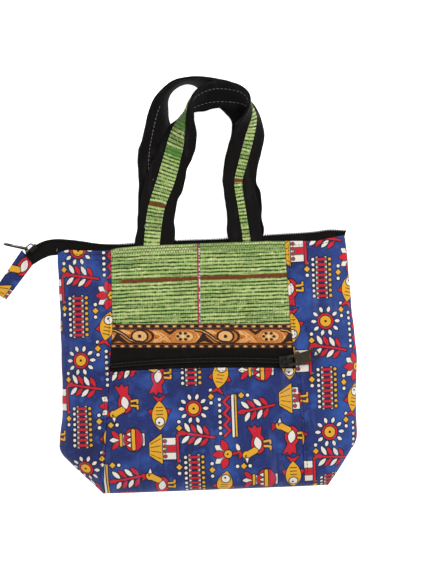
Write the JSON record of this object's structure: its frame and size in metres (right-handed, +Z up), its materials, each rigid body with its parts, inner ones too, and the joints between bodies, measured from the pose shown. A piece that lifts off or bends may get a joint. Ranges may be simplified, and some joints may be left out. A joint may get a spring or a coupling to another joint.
{
  "type": "patchwork hand bag",
  "caption": "Small patchwork cloth bag lying on its back, with a zipped mouth, a zipped front pocket, folded boxed corners and short carry handles with a woven strip.",
  "frame": {"origin": "middle of the flat face that the back rests on", "axes": "+Z up out of the front face, +Y from the foot of the bag to its handles, +X to the bag's right"},
  "size_m": [0.3445, 0.3887, 0.0409],
  "materials": {
    "print_cotton": "matt printed cotton",
    "woven_cotton": "ribbed handloom cotton",
    "border_cotton": "block printed cotton",
    "black_cotton": "matt black cotton",
    "zip_tape": "fine woven tape",
    "zip_coil": "black nylon coil",
    "zip_metal": "dark olive enamel"
  },
  "bodies": {
    "bag": {"back_panel": "print_cotton", "side_panel_left": "print_cotton", "side_panel_right": "print_cotton", "pocket_panel": "print_cotton", "zip_end_tab": "print_cotton", "woven_panel": "woven_cotton", "front_handle_inlay": "woven_cotton", "rear_handle_inlay": "woven_cotton", "border_band": "border_cotton", "front_handle_band": "black_cotton", "rear_handle_band": "black_cotton", "pocket_zip_tape_upper": "zip_tape", "pocket_zip_tape_lower": "zip_tape", "top_zip_tape_front": "zip_tape", "top_zip_tape_back": "zip_tape", "pocket_zip_coil": "zip_coil", "top_zip_coil": "zip_coil", "pocket_zip_slider": "zip_metal", "top_zip_slider": "zip_metal"},
    "pocket_pull": {"pocket_zip_pull": "zip_metal"},
    "top_pull": {"top_zip_pull": "zip_metal"}
  },
  "joints": [
    {"name": "pocket_pull_swing", "type": "hinge", "parent": "bag", "child": "pocket_pull", "pos_m": [0.07625, 0.00409, 0.02895], "axis": [0.2079, -0.9781, 0], "range_deg": [0, 165]},
    {"name": "top_pull_swing", "type": "hinge", "parent": "bag", "child": "top_pull", "pos_m": [-0.16618, 0.11863, 0.00857], "axis": [-0.1583, 0.183, -0.9703], "range_deg": [-20, 100]}
  ]
}
